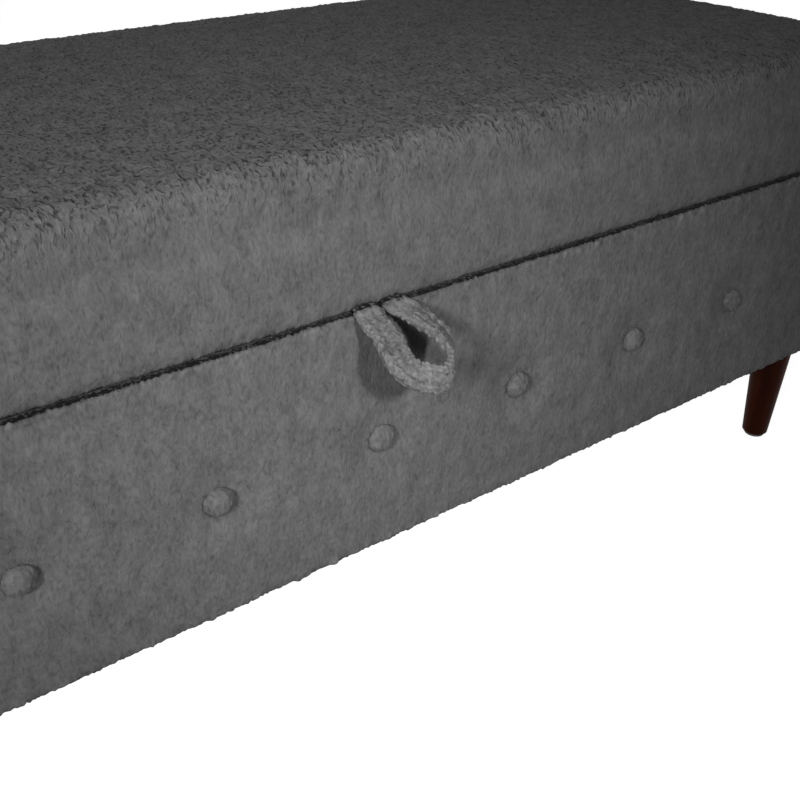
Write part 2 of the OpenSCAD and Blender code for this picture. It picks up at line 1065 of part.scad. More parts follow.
// A closed surface of rings with a pole at each end
module ringed(rows, first_pole, last_pole) {
    n = ring_n;
    last = len(rows) * n + 1;
    points = concat([[0, 0, lid_z + first_pole]],
        [for (row = rows) each ring(row[0], lid_z + row[1], row[2])],
        [[0, 0, lid_z + last_pole]]);
    faces = concat(
        [for (i = [0:n - 1]) [0, 1 + (i + 1) % n, 1 + i]],
        [for (r = [0:len(rows) - 2], i = [0:n - 1])
            let (a = 1 + r * n + i, b = 1 + r * n + (i + 1) % n)
            each [[a, b, a + n], [b, b + n, a + n]]],
        [for (i = [0:n - 1]) [last, last - n + i, last - n + (i + 1) % n]]);
    polyhedron(points, faces);
}

module lid_cover() {
    fold = [[lid_wrap_w, 0, 1], [lid_wrap_w, cover_t, 1]];
    rows = concat(outer_rows(0), fold, backwards(outer_rows(cover_t)));
    color(fabric_top)
        difference() {
            ringed(rows, lid_h + lid_crown, lid_h + lid_crown - cover_t);
            leaf_recess(1);
            at_hinges()
                leaf_screws(1, lid_screw_len);
            tail_set();
        }
}

module lid_foam() {
    color(foam_colour)
        difference() {
            ringed(outer_rows(cover_t), lid_h + lid_crown - cover_t, cover_t);
            slab(board_inset, board_z - eps, board_top);
        }
}

module lid_board() {
    color(plywood)
        difference() {
            slab(board_inset, board_z, board_top);
            at_hinges()
                leaf_screws(1, lid_screw_len);
            both_sides()
                bracket_screw_set();
            tail_staple_set();
        }
}

module lid_lining() {
    outline = [for (p = ring(lid_wrap_w, 0, 1)) [p[0], p[1]]];
    color(lining_colour)
        difference() {
            translate([0, 0, lid_z])
                linear_extrude(cover_t)
                    polygon(outline);
            both_sides()
                bracket_screw_set();
        }
}

// Pull loop: a padded strap of the same fabric. Its ends are stapled under the board,
// and its free part hangs out of the seam over the middle button.

root_x = 12;
tail_from = root_t / 2 + root_clear;
route = [[-12, 0], [-14, 8], [-17, 20], [-19, 35], [-18, 51], [-14, 65], [-5, 74],
    [6, 74], [16, 67], [23, 56], [26, 42], [25, 27], [20, 13], [14, 5], [12, 0]];
route_n = len(route);
smooth = 2;
strand = [for (i = [0:route_n - 2], k = [0:smooth - 1]) curve(i, k / smooth)];
strand_points = concat(strand, [route[route_n - 1]]);
strand_n = len(strand_points);
strap_shape = [[1, 0.5], [0.72, 1], [-0.72, 1], [-1, 0.5], [-1, -0.5], [-0.72, -1], [0.72, -1], [1, -0.5]];

// A point between two of the route's points
function curve(i, u) =
    let (a = route[max(i - 1, 0)], b = route[i], c = route[i + 1], d = route[min(i + 2, route_n - 1)])
    0.5 * (2 * b + (c - a) * u + (2 * a - 5 * b + 4 * c - d) * u * u + (3 * b - a - 3 * c + d) * u * u * u);
function heading(i) =
    let (d = i == 0 || i == strand_n - 1 ? [0, i == 0 ? 1 : -1]
        : strand_points[i + 1] - strand_points[i - 1])
    d / norm(d);
function eased(v) = v <= 0 ? 0 : v >= 1 ? 1 : v * v * (3 - 2 * v);
// Share of full thickness at a distance from the seam
function filled(reach) = eased((reach - 3) / 18);
function turned(i) = loop_turn * pow(sin(180 * pow(i / (strand_n - 1), 1.6)), 2);

function strap_ring(i) =
    let (p = strand_points[i], d = heading(i), roll = turned(i), full = filled(p[1]),
        w = (loop_w - 3 * (1 - full)) / 2, t = (root_t + (loop_t - root_t) * full) / 2)
    [for (q = strap_shape)
        let (u = q[0] * w * cos(roll) - q[1] * t * sin(roll),
            v = q[0] * w * sin(roll) + q[1] * t * cos(roll))
        [p[0] + u * d[1], -(p[1] - u * d[0]) , v]];

module pull_loop() {
    sides = len(strap_shape);
    points = [for (i = [0:strand_n - 1]) each strap_ring(i)];
    last = (strand_n - 1) * sides;
    faces = concat(
        [[for (k = [0:sides - 1]) k]],
        [for (i = [0:strand_n - 2], k = [0:sides - 1])
            let (a = i * sides + k, b = i * sides + (k + 1) % sides)
            each [[a, a + sides, b], [b, a + sides, b + sides]]],
        [[for (k = [sides - 1:-1:0]) last + k]]);
    color(loop_fabric)
        translate([0, -body_d / 2, axis_z])
            rotate([loop_slope, 0, 0])
                polyhedron(points, faces);
}

module tail_set() {
    for (x = [-root_x, root_x])
        translate([x - (loop_w - 3) / 2, tail_from - body_d / 2, lid_z])
            cube([loop_w - 3, tail_len, cover_t]);
}

module loop_tails() {
    color(loop_fabric)
        difference() {
            tail_set();
            tail_staple_set();
        }
}

module tail_staple_set() {
    for (x = [-root_x, root_x], y = [0.45, 0.8])
        translate([x, y * tail_len - body_d / 2, lid_z + staple_wire])
            staple(staple_len);
}

module tail_staples() {
    color(zinc)
        tail_staple_set();
}

front_panel();
back_panel();
left_panel();
right_panel();
floor_panel();
glue_blocks();
corner_screws();
floor_screws();
front_foam();
back_foam();
left_foam();
right_foam();
front_cover();
back_cover();
left_cover();
right_cover();
tuft_buttons();
button_twines();
button_washers();
wall_lining();
floor_mat();
dust_cover();
underside_staples();
leg_front_left();
leg_front_right();
leg_back_left();
leg_back_right();
hanger_bolts();
t_nuts();
leg_glides();
hinge_base_leaves();
hinge_pins();
hinge_base_screws();
stay_wall_plates();
stay_studs();
stay_plate_screws();
lid_board();
lid_foam();
lid_cover();
lid_lining();
hinge_lid_leaves();
hinge_lid_screws();
stay_lid_brackets();
stay_rivets();
stay_bracket_screws();
loop_tails();
tail_staples();
stay_arm_left();
stay_arm_right();
pull_loop();
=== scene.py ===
import json
import math

import bmesh
import bpy
import numpy as np
from mathutils import Matrix, Vector, noise


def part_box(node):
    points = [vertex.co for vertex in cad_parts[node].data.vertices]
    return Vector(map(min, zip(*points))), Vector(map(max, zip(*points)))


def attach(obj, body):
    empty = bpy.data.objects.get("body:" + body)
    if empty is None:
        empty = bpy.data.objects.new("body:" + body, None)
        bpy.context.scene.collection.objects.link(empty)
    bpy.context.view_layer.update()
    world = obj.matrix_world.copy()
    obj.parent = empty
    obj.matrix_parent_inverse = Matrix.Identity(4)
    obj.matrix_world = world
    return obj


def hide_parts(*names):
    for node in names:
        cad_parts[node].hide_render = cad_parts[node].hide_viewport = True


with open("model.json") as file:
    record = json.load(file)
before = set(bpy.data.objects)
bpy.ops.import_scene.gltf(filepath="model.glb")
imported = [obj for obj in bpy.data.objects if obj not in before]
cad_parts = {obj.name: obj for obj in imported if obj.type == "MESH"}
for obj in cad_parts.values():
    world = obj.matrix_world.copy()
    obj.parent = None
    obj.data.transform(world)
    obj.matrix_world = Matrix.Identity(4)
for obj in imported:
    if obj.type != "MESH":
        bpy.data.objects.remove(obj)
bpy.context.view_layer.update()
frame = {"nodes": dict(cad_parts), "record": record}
scene = bpy.context.scene
scene.view_settings.view_transform = "Standard"

# Camera
# It stands before the left half, a little above the seat, and looks down and to the right along
# the front.
camera_place = (-0.3422, -0.7328, 0.6358)
look_down = 31.70
look_right = 35.45
lens_mm = 44.0
bpy.ops.object.camera_add(
    location=camera_place,
    rotation=(math.radians(90 - look_down), 0, math.radians(-look_right)),
)
bpy.context.object.data.lens = lens_mm
scene.camera = bpy.context.object


# Studio
# A pale floor in a white room. A soft lamp to the left lets the light fall off to the right, a
# smaller one in front of the pull loop throws its shadow straight down, and a wide one lights the
# back.
def new_material(name, **sockets):
    """A material with these sockets of its Principled shader set; Base_Color is Base Color."""
    made = bpy.data.materials.new(name)
    made.use_nodes = True
    shader = made.node_tree.nodes["Principled BSDF"]
    for socket, value in sockets.items():
        shader.inputs[socket.replace("_", " ")].default_value = value
    return made


def add_node(tree, kind, inputs=None, **settings):
    """A shader node; each input is a plain value, or another node's output to link to it."""
    made = tree.nodes.new("ShaderNode" + kind)
    for name, value in settings.items():
        setattr(made, name, value)
    for socket, value in (inputs or {}).items():
        if isinstance(value, bpy.types.NodeSocket):
            tree.links.new(value, made.inputs[socket])
        else:
            made.inputs[socket].default_value = value
    return made


def seen_directly(tree):
    """1 for what the camera sees, also mirrored or through glass, 0 for light on the object."""
    path = add_node(tree, "LightPath").outputs
    shown = path["Is Camera Ray"]
    for ray in ("Is Glossy Ray", "Is Transmission Ray"):
        shown = add_node(
            tree, "Math", {0: shown, 1: path[ray]}, operation="ADD", use_clamp=True
        ).outputs[0]
    return shown


floor_size = 14
room_light = 0.04
floor_glow = 0.93
# Place, aim, size, power and spread of each lamp
lamps = [
    (Vector((-1.15, -1.05, 0.95)), Vector((0.06, -0.23, 0.22)), 0.25, 1.38, 50),
    (Vector((-0.10, -1.20, 0.85)), Vector((-0.02, -0.23, 0.21)), 0.10, 0.83, 60),
    (Vector((-0.5, 2.2, 1.0)), Vector((0.0, 0.0, 0.25)), 1.4, 20.0, 180),
]

bpy.ops.mesh.primitive_plane_add(size=floor_size)
floor = bpy.context.object
floor.name = "studio_floor"
floor_paint = new_material("studio_floor", Base_Color=(0.30, 0.30, 0.30, 1), Roughness=0.9)
tree = floor_paint.node_tree
lit = tree.nodes["Principled BSDF"].outputs[0]
glow = add_node(tree, "Emission", {"Color": (1, 1, 1, 1), "Strength": floor_glow})
both = add_node(tree, "AddShader", {0: lit, 1: glow.outputs[0]})
choice = add_node(tree, "MixShader", {0: seen_directly(tree), 1: lit, 2: both.outputs[0]})
tree.links.new(choice.outputs[0], tree.nodes["Material Output"].inputs["Surface"])
floor.data.materials.append(floor_paint)

room = bpy.data.worlds.new("studio")
scene.world = room
room.use_nodes = True
tree = room.node_tree
dim = add_node(tree, "Background", {"Color": (1, 1, 1, 1), "Strength": room_light})
white = add_node(tree, "Background", {"Color": (1, 1, 1, 1), "Strength": 1.0})
choice = add_node(
    tree, "MixShader", {0: seen_directly(tree), 1: dim.outputs[0], 2: white.outputs[0]}
)
tree.links.new(choice.outputs[0], tree.nodes["World Output"].inputs["Surface"])

for place, aim, size, power, spread in lamps:
    bpy.ops.object.light_add(
        type="AREA",
        location=place,
        rotation=(aim - place).to_track_quat("-Z", "Y").to_euler(),
    )
    bpy.context.object.data.size = size
    bpy.context.object.data.energy = power
    bpy.context.object.data.spread = math.radians(spread)


# Frame of the box and board of the lid
# Poplar plywood with a pale face veneer, sawn to size. The wall panels are screwed to each other
# and, through the bottom board, from below, with glue blocks in the corners.
def scaled_coordinates(tree, stretch):
    """Object coordinates, multiplied along each axis."""
    place = add_node(tree, "TexCoord").outputs["Object"]
    return add_node(tree, "Mapping", {"Vector": place, "Scale": stretch}).outputs[0]


def ramp(tree, value, stops):
    """Colours along a value from 0 to 1: stops are (position, colour)."""
    made = add_node(tree, "ValToRGB", {"Fac": value})
    band = made.color_ramp.elements
    while len(band) < len(stops):
        band.new(1)
    for element, (position, colour) in zip(band, stops):
        element.position = position
        element.color = (*colour, 1)
    return made.outputs["Color"]


def bump(tree, height, depth, strength=1.0):
    """Links a relief of that depth in metres to the Principled shader."""
    made = add_node(tree, "Bump", {"Height": height, "Distance": depth, "Strength": strength})
    tree.links.new(made.outputs[0], tree.nodes["Principled BSDF"].inputs["Normal"])


def paint(tree, colour):
    """Links a colour to the Principled shader."""
    tree.links.new(colour, tree.nodes["Principled BSDF"].inputs["Base Color"])


def dress(nodes, material):
    """Gives CAD nodes a material in place of the one that they came with."""
    for name in nodes:
        for holder in frame["nodes"][name].material_slots:
            holder.material = material


plywood = new_material("plywood", Roughness=0.62)
tree = plywood.node_tree
grain = add_node(
    tree,
    "TexNoise",
    {"Vector": scaled_coordinates(tree, (5, 90, 90)), "Scale": 1.0, "Detail": 6, "Distortion": 0.6},
).outputs["Fac"]
pores = add_node(
    tree,
    "TexNoise",
    {"Vector": scaled_coordinates(tree, (60, 900, 900)), "Scale": 1.0, "Detail": 2},
).outputs["Fac"]
veneer = [(0.3, (0.36, 0.21, 0.10)), (0.5, (0.52, 0.34, 0.17)), (0.7, (0.62, 0.43, 0.24))]
paint(tree, ramp(tree, grain, veneer))
bump(tree, pores, 0.0002)
panels = ["front_panel", "back_panel", "left_panel", "right_panel"]
dress(panels + ["floor_panel", "glue_blocks", "lid_board"], plywood)

# Screws, staples, washers, T-nuts, hanger bolts, hinges and lid stays
# Pressed or turned steel with bright zinc on it. Rolled parts keep faint lines along the sheet,
# and the zinc has a soft cloudy spangle.
zinc = new_material("zinc_steel", Metallic=1.0, Roughness=0.34)
tree = zinc.node_tree
spangle = add_node(
    tree,
    "TexNoise",
    {"Vector": scaled_coordinates(tree, (90, 90, 90)), "Scale": 1.0, "Detail": 3},
).outputs["Fac"]
lines = add_node(
    tree,
    "TexNoise",
    {"Vector": scaled_coordinates(tree, (40, 1400, 1400)), "Scale": 1.0, "Detail": 2},
).outputs["Fac"]
paint(tree, ramp(tree, spangle, [(0.3, (0.42, 0.43, 0.45)), (0.7, (0.62, 0.62, 0.63))]))
dull = add_node(tree, "MapRange", {"Value": spangle, "To Min": 0.26, "To Max": 0.46}).outputs[0]
tree.links.new(dull, tree.nodes["Principled BSDF"].inputs["Roughness"])
bump(tree, lines, 0.00005, 0.6)
steel_nodes = [
    row["node"] for row in frame["record"]["subparts"] if row["material_slot"] == "zinc_steel"
]
dress(steel_nodes, zinc)

# Foam on the walls
# Cut polyurethane foam, 10 mm thick, glued to the panels under the fabric, with a hollow pressed
# in behind each button.
foam = new_material("foam", Roughness=0.95, Sheen_Weight=0.1)
tree = foam.node_tree
cells = add_node(
    tree, "TexVoronoi", {"Vector": scaled_coordinates(tree, (1, 1, 1)), "Scale": 900.0}
).outputs["Distance"]
paint(tree, ramp(tree, cells, [(0.1, (0.58, 0.49, 0.28)), (0.6, (0.80, 0.72, 0.48))]))
bump(tree, cells, 0.0004)
dress(["front_foam", "back_foam", "left_foam", "right_foam", "lid_foam"], foam)

# Legs and glides
# Turned hardwood cones, stained a dark red brown and lacquered satin, on hanger bolts. A black
# plastic glide is nailed under each.
stain = [
    (0.25, (0.005, 0.0009, 0.0002)),
    (0.5, (0.020, 0.0033, 0.0008)),
    (0.75, (0.050, 0.0085, 0.0018)),
]
for leg_name in ("leg_front_left", "leg_front_right", "leg_back_left", "leg_back_right"):
    low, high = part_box(leg_name)
    wood = new_material(leg_name + "_wood", Roughness=0.5, Specular_IOR_Level=0.03)
    tree = wood.node_tree
    centred = add_node(
        tree,
        "Mapping",
        {
            "Vector": add_node(tree, "TexCoord").outputs["Object"],
            "Location": (-(low.x + high.x) / 2, -(low.y + high.y) / 2, 0),
        },
    ).outputs[0]
    along = add_node(tree, "Mapping", {"Vector": centred, "Scale": (55, 55, 3.2)}).outputs[0]
    figure = add_node(
        tree,
        "TexNoise",
        {"Vector": along, "Scale": 1.0, "Detail": 5, "Roughness": 0.6, "Distortion": 1.2},
    ).outputs["Fac"]
    fine = add_node(tree, "Mapping", {"Vector": centred, "Scale": (700, 700, 22)}).outputs[0]
    pores = add_node(tree, "TexNoise", {"Vector": fine, "Scale": 1.0, "Detail": 2}).outputs["Fac"]
    paint(tree, ramp(tree, figure, stain))
    bump(tree, pores, 0.0001, 0.5)
    dress([leg_name], wood)

glide_plastic = new_material("black_plastic", Base_Color=(0.02, 0.02, 0.02, 1), Roughness=0.45)
tree = glide_plastic.node_tree
mould = add_node(
    tree, "TexNoise", {"Vector": scaled_coordinates(tree, (600, 600, 600)), "Scale": 1.0}
).outputs["Fac"]
paint(tree, ramp(tree, mould, [(0.3, (0.012, 0.012, 0.012)), (0.7, (0.030, 0.030, 0.030))]))
bump(tree, mould, 0.00008)
dress(["leg_glides"], glide_plastic)


# Upholstery of the box
# Four pieces of short curly pile fabric, sewn together along the corners. Each is cut flat, laid
# over the foam, folded over the rim and down the inside, and under the box, where it is stapled.
def pick(piece):
    """Selects one piece alone."""
    bpy.ops.object.select_all(action="DESELECT")
    piece.select_set(True)
    bpy.context.view_layer.objects.active = piece


def modify(piece, kind, **settings):
    """Adds a modifier, sets it and applies it."""
    pick(piece)
    made = piece.modifiers.new(kind.lower(), kind)
    for name, value in settings.items():
        setattr(made, name, value)
    bpy.ops.object.modifier_apply(modifier=made.name)


def places(piece, kind="co"):
    """The places of a piece's vertices, or the normals there."""
    flat = np.empty(len(piece.data.vertices) * 3, np.float32)
    piece.data.vertices.foreach_get(kind, flat)
    return flat.reshape(-1, 3).astype(float)


def directions(piece):
    return places(piece, "normal")


def set_places(piece, points):
    piece.data.vertices.foreach_set("co", points.astype(np.float32).ravel())
    piece.data.update()


def give_attribute(piece, name, values):
    """One value for each vertex, or the same for all, which the materials read."""
    made = piece.data.attributes.new(name, "FLOAT", "POINT")
    made.data.foreach_set("value", np.broadcast_to(values, len(made.data)).astype(np.float32))


def give_weights(piece, name, weights):
    """A vertex group with one weight for each vertex, or the same for all, in twentieths."""
    group = piece.vertex_groups.new(name=name)
    weights = np.broadcast_to(weights, len(piece.data.vertices))
    steps = np.round(np.clip(weights, 0, 1) * 20).astype(int)
    for step in range(1, 21):
        group.add(np.flatnonzero(steps == step).tolist(), step / 20, "REPLACE")


bpy.ops.object.empty_add()
combed = bpy.context.object
combed.name = "combed_space"


def comb_pile(length):
    """Makes the tufts that grow from now on this much longer downwards than across."""
    combed.scale = (1, 1, length)
    bpy.context.view_layer.update()


def grow_pile(piece, tuft, height):
    """Raises tufts out of a cloth and keeps how high each point stands."""
    before, normals = places(piece), directions(piece)
    for size, share, kind in (
        (3.0 * tuft, 0.7, "SOFT_NOISE"),
        (tuft, 1.0, "HARD_NOISE"),
        (0.6 * tuft, 0.5, "SOFT_NOISE"),
    ):
        texture = bpy.data.textures.new(f"{piece.name}_{size:.4f}", "CLOUDS")
        texture.noise_scale = size
        texture.noise_depth = 0
        texture.noise_type = kind
        modify(
            piece,
            "DISPLACE",
            texture=texture,
            texture_coords="OBJECT",
            texture_coords_object=combed,
            strength=share * height,
            mid_level=0.5,
            vertex_group="growth",
        )
    rise = ((places(piece) - before) * normals).sum(1)
    give_attribute(piece, "pile_height", rise / height)


def pile_fabric(name, greys, combing):
    """Short curly pile: brushed streaks, painted shade in its gaps, hollows and creases."""
    made = new_material(
        name, Roughness=0.95, Specular_IOR_Level=0.05, Sheen_Weight=0.03, Sheen_Roughness=0.6
    )
    tree = made.node_tree
    place = scaled_coordinates(tree, (1.25, 0.95, 1 / combing))
    curl = add_node(
        tree, "TexNoise", {"Vector": place, "Scale": 110.0, "Detail": 1}
    ).outputs["Color"]
    bent, wound = (
        add_node(
            tree, "VectorMath", {0: curl, 1: (by,) * 3, 2: place}, operation="MULTIPLY_ADD"
        ).outputs[0]
        for by in (0.005, 0.008)
    )
    nap, gaps, fibres, clumps, patches = (
        add_node(
            tree, "TexNoise", {"Vector": at, "Scale": scale, "Detail": detail, "Roughness": rough}
        ).outputs["Fac"]
        for at, scale, detail, rough in (
            (bent, 330.0, 2, 0.6),
            (wound, 295.0, 1, 0.4),
            (place, 750.0, 1, 0.5),
            (bent, 70.0, 1, 0.5),
            (place, 9.0, 2, 0.5),
        )
    )
    curly, standing, painted_shade = (
        add_node(tree, "Attribute", attribute_name=name).outputs["Fac"]
        for name in ("curly", "pile_height", "painted_shade")
    )
    knotty, gap, lively, ragged, strength = (
        add_node(
            tree,
            "MapRange",
            {"Value": value, "From Min": low, "From Max": high, "To Min": first, "To Max": last},
        ).outputs[0]
        for value, low, high, first, last in (
            (curly, 0.3, 1.0, 0.35, 1.0),
            (gaps, 0.45, 0.31, 0.0, 1.0),
            (curly, 0.25, 1.0, 0.62, 1.0),
            (nap, 0.38, 0.62, 1.35, 0.55),
            (curly, 0.0, 1.0, 0.15, 0.9),
        )
    )
    gap = add_node(tree, "Math", {0: gap, 1: knotty}, operation="MULTIPLY").outputs[0]
    streaks = add_node(tree, "Math", {0: nap, 1: -0.5}, operation="ADD").outputs[0]
    streaks = add_node(tree, "Math", {0: streaks, 1: lively}, operation="MULTIPLY").outputs[0]
    # Painted shade at the seams and creases, broken up along the nap
    painted_shade = add_node(tree, "Math", {0: painted_shade, 1: ragged}, operation="MULTIPLY").outputs[0]
    tone = 0.495
    for value, share, middle in (
        (streaks, 0.72, 0.0),
        (clumps, 0.30, 0.5),
        # Painted shade in the gaps between the curls
        (gap, -0.22, 0.0),
        # Painted shade on the low points of the pile and painted light on its tips
        (standing, 0.30, 0.0),
        (fibres, 0.16, 0.5),
        (patches, 0.08, 0.5),
        # Painted light: the curly top of the seat a little lighter
        (curly, 0.05, 0.3),
        # Painted shade of the seam's gap, the button rings, the strap's grooves and the strap's
        # ends
        (painted_shade, -0.44, 0.0),
    ):
        centred = add_node(tree, "Math", {0: value, 1: -middle}, operation="ADD").outputs[0]
        tone = add_node(
            tree, "Math", {0: centred, 1: share, 2: tone}, operation="MULTIPLY_ADD"
        ).outputs[0]
    paint(tree, ramp(tree, tone, [(at, (grey,) * 3) for at, grey in zip((0.0, 0.12, 1.0), greys)]))
    relief = add_node(tree, "Math", {0: gap, 1: -1.0, 2: nap}, operation="MULTIPLY_ADD").outputs[0]
    relief = add_node(
        tree, "Math", {0: fibres, 1: 0.15, 2: relief}, operation="MULTIPLY_ADD"
    ).outputs[0]
    bump(tree, relief, 0.0015, strength)
    return made


cloth = pile_fabric("pile_fabric", greys=(0.004, 0.045, 0.262), combing=1.5)
tuft_size = 0.0040
pile_rise = 0.0030
comb_pile(length=2.0)

box_low, box_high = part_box("front_cover")
width = 2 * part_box("right_cover")[1].x
depth = 2 * abs(box_low.y)
inside_fold = 0.0266
fold_r = 0.003
corner_r = 0.030
rim_r = 0.0026
foot_r = 0.004
rim_z = box_high.z - 0.0006
rim_dip = 0.0008
underside = box_low.z
fold_in = 0.028
fold_under = 0.062
cloth_t = 0.0018
grid_step = 0.0021
seam_draw = 0.0014
seam_half = 0.0035
face_edge = 0.012
face_swell = 0.0015
face_uneven = 0.0006
face_combed = 0.80
rim_band = 0.009
foot_band = 0.010
band_ease = 0.007
cut_ease = 0.010
# Painted shade on the rim's top, in the seam's gap under the lid
rim_shade = 1.4
rim_shade_from = 0.0024
rim_shade_to = 0.011
button_low, button_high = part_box("tuft_buttons")
button_r = (button_high.z - button_low.z) / 2
button_z = (button_high.z + button_low.z) / 2
button_n = 7
button_pitch = (button_high.x - button_low.x - 2 * button_r) / (button_n - 1)
button_x = [(i - (button_n - 1) / 2) * button_pitch for i in range(button_n)]
# Painted shade in a ring round each button
button_shade = 0.20
button_shade_half = 0.0030
dimple_depth = 0.0045
dimple_r = 0.044


def arc(centre, radius, start, end, steps=10):
    """Points along an arc, with its angles in degrees."""
    turn = np.radians(np.linspace(start, end, steps + 1))
    return np.stack([centre[0] + radius * np.cos(turn), centre[1] + radius * np.sin(turn)], 1)


# The fold from the inside of the rim to the underside, as depth behind the face and height
fold = np.vstack([
    [[inside_fold, rim_z - fold_in]],
    arc((inside_fold - fold_r, rim_z - rim_dip - fold_r), fold_r, 0, 90),
    [[3 * rim_r, rim_z - rim_dip]],
    arc((rim_r, rim_z - rim_r), rim_r, 90, 180),
    arc((foot_r, underside + foot_r), foot_r, 180, 270),
    [[fold_under, underside]],
])
fold_at = np.concatenate([[0], np.cumsum(np.linalg.norm(np.diff(fold, axis=0), axis=1))])


def smooth(value):
    """Eases from 0 to 1."""
    value = np.clip(value, 0, 1)
    return value * value * (3 - 2 * value)


def ridge(away, half):
    """1 on a line and nearly 0 from twice the half width away from it."""
    return np.exp(-((away / half) ** 2))


def thin_backing(cover, group):
    """Merges the plain faces of a cloth's hidden side."""
    bpy.ops.object.mode_set(mode="EDIT")
    mesh = bmesh.from_edit_mesh(cover.data)
    held = mesh.verts.layers.deform.active
    hidden = {v for v in mesh.verts if v[held].get(group, 0) > 0.5}
    growth = cover.vertex_groups["growth"].index
    for v in hidden:
        v[held].pop(growth, None)
    for f in mesh.faces:
        f.select_set(all(v in hidden for v in f.verts))
    bmesh.update_edit_mesh(cover.data)
    bpy.ops.mesh.dissolve_limited(angle_limit=math.radians(3))
    bpy.ops.mesh.quads_convert_to_tris()
    bpy.ops.object.mode_set(mode="OBJECT")


def lay_cover(name, half, face, turns, step, buttons):
    """Cuts a flat cloth, folds it round one side of the box and gives it its real thickness."""
    corner_run = corner_r * math.pi / 4
    cut = (2 * (half + corner_run), fold_at[-1])
    bpy.ops.mesh.primitive_grid_add(
        x_subdivisions=round(cut[0] / step), y_subdivisions=round(cut[1] / step), size=1
    )
    cover = bpy.context.object
    cover.name = name
    flat = places(cover)
    along, down = flat[:, 0] * cut[0], (0.5 - flat[:, 1]) * cut[1]
    inward = np.interp(down, fold_at, fold[:, 0])
    level = np.interp(down, fold_at, fold[:, 1])

    # Round the corner as far as its middle, and mitred where the fold lies past its centre
    side = np.sign(along)
    turn = np.clip(np.abs(along) - half, 0, None) / corner_r
    past = np.clip(inward - corner_r, 0, None)
    near = np.minimum(inward, corner_r)
    mitre = np.where(turn > 0, half - past, np.abs(along) * (half - past) / half)
    x = side * (mitre + (corner_r - near) * np.sin(turn))
    y = -(face - corner_r) - (corner_r - near) * np.cos(turn) + past

    # Swell of the padding, dimples at the buttons and the seam drawn in at each corner, with
    # painted shade on the rim's top in the seam's gap under the lid and in a ring round each button
    height = (level - underside) / (rim_z - underside)
    on_face = smooth((face_edge - inward) / face_edge)
    push = -face_swell * np.sin(math.pi * height) * on_face
    on_rim = level > button_z
    shaded = smooth((inward - rim_shade_from) / 0.0014) * smooth((rim_shade_to - inward) / 0.004)
    painted_shade = rim_shade * shaded * on_rim
    for centre in buttons:
        reach = np.hypot(along - centre, level - button_z)
        push += dimple_depth * (1 - smooth((reach - button_r) / (dimple_r - button_r))) * on_face
        painted_shade = np.maximum(painted_shade, button_shade * ridge(reach - button_r, button_shade_half))
    to_seam = cut[0] / 2 - np.abs(along)
    push += seam_draw * ridge(to_seam, seam_half) * on_face
    uneven = [noise.noise(Vector((p + 7 * turns, q * 9, turns))) for p, q in zip(along * 9, level)]
    push += face_uneven * np.array(uneven) * on_face
    x -= side * push * np.sin(turn)
    y += push * np.cos(turn)
    round_the_box = np.array(Matrix.Rotation(math.radians(90 * turns), 3, "Z"))
    set_places(cover, np.stack([x, y, level], 1) @ round_the_box.T)

    # The pile is combed flat on the face, stands up near its edges and fades where the cloth is cut
    turning = np.minimum(on_face, 1 - smooth((inward - 0.0005) / 0.004))
    near_edge = np.maximum(
        smooth((level - rim_z + rim_band) / band_ease),
        smooth((underside + foot_band - level) / band_ease),
    )
    growth = 1.0 - face_combed * turning * (1 - 0.7 * near_edge)
    growth *= smooth((down - 0.004) / cut_ease) * smooth((cut[1] - down) / cut_ease)
    growth *= 1 - 0.9 * smooth((inward - 0.003) / 0.003) * on_rim
    give_weights(cover, "growth", growth)
    give_attribute(cover, "curly", 0.25)
    give_attribute(cover, "painted_shade", painted_shade)
    backing = cover.vertex_groups.new(name="backing")
    modify(cover, "SOLIDIFY", thickness=cloth_t, offset=-1, shell_vertex_group="backing")
    thin_backing(cover, backing.index)
    grow_pile(cover, tuft_size, pile_rise)
    bpy.ops.object.shade_smooth()
    cover.data.materials.append(cloth)
    return cover


covers = [
    ("front", width / 2 - corner_r, depth / 2, 0, grid_step, button_x),
    ("right", depth / 2 - corner_r, width / 2, 1, 1.15 * grid_step, []),
    ("back", width / 2 - corner_r, depth / 2, 2, 1.3 * grid_step, []),
    ("left", depth / 2 - corner_r, width / 2, 3, 1.15 * grid_step, []),
]
for side_name, half, face, turns, step, buttons in covers:
    cover = lay_cover(side_name + "_upholstery", half, face, turns, step, buttons)
    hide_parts(side_name + "_cover")
    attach(cover, "base")


# Buttons
# Seven metal shells covered in the same fabric. Twine pulls each of them into the foam, and is
# tied off over a washer behind the front panel.
button_rise = 0.0075
button_back = 0.0035
button_sink = 0.0018
button_pile_rise = 0.0014
for number, centre in enumerate(button_x, 1):
    bpy.ops.mesh.primitive_ico_sphere_add(subdivisions=5, radius=button_r)
    button = bpy.context.object
    button.name = f"fabric_button_{number}"
    points = places(button)
    bulge = np.where(points[:, 1] < 0, -button_rise, button_back)
    points[:, 1] = bulge * np.abs(points[:, 1]) / button_r
    set_places(button, points + [centre, -depth / 2 + button_sink, button_z])
    give_weights(button, "growth", 0.5)
    give_attribute(button, "curly", 0.15)
    grow_pile(button, tuft_size, button_pile_rise)
    bpy.ops.object.shade_smooth()
    button.data.materials.append(cloth)
    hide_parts("tuft_buttons")
    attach(button, "base")

# Lid cushion
# Moulded foam on a plywood board, in one cover of the same fabric that is drawn down over the sides
# and stapled underneath. The seat is crowned, and the sides swell and pull in towards the seam.
lid_low, lid_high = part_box("lid_cover")
lid_base = lid_low.z + 0.0003
lid_crown = 0.008
lid_corner_r = 0.030
lid_top_r = 0.024
lid_seam_r = 0.004
lid_swell = 0.0025
lid_slack = 0.0002
seam_swell = 0.35
lid_flat = 0.026
curl_below = 0.042
curl_fade = 0.062
curl_stray = 0.009
# Painted shade under the lid's edge at the seam
seam_shade = 1.3
lid_fold = 0.050
remesh_step = 0.005


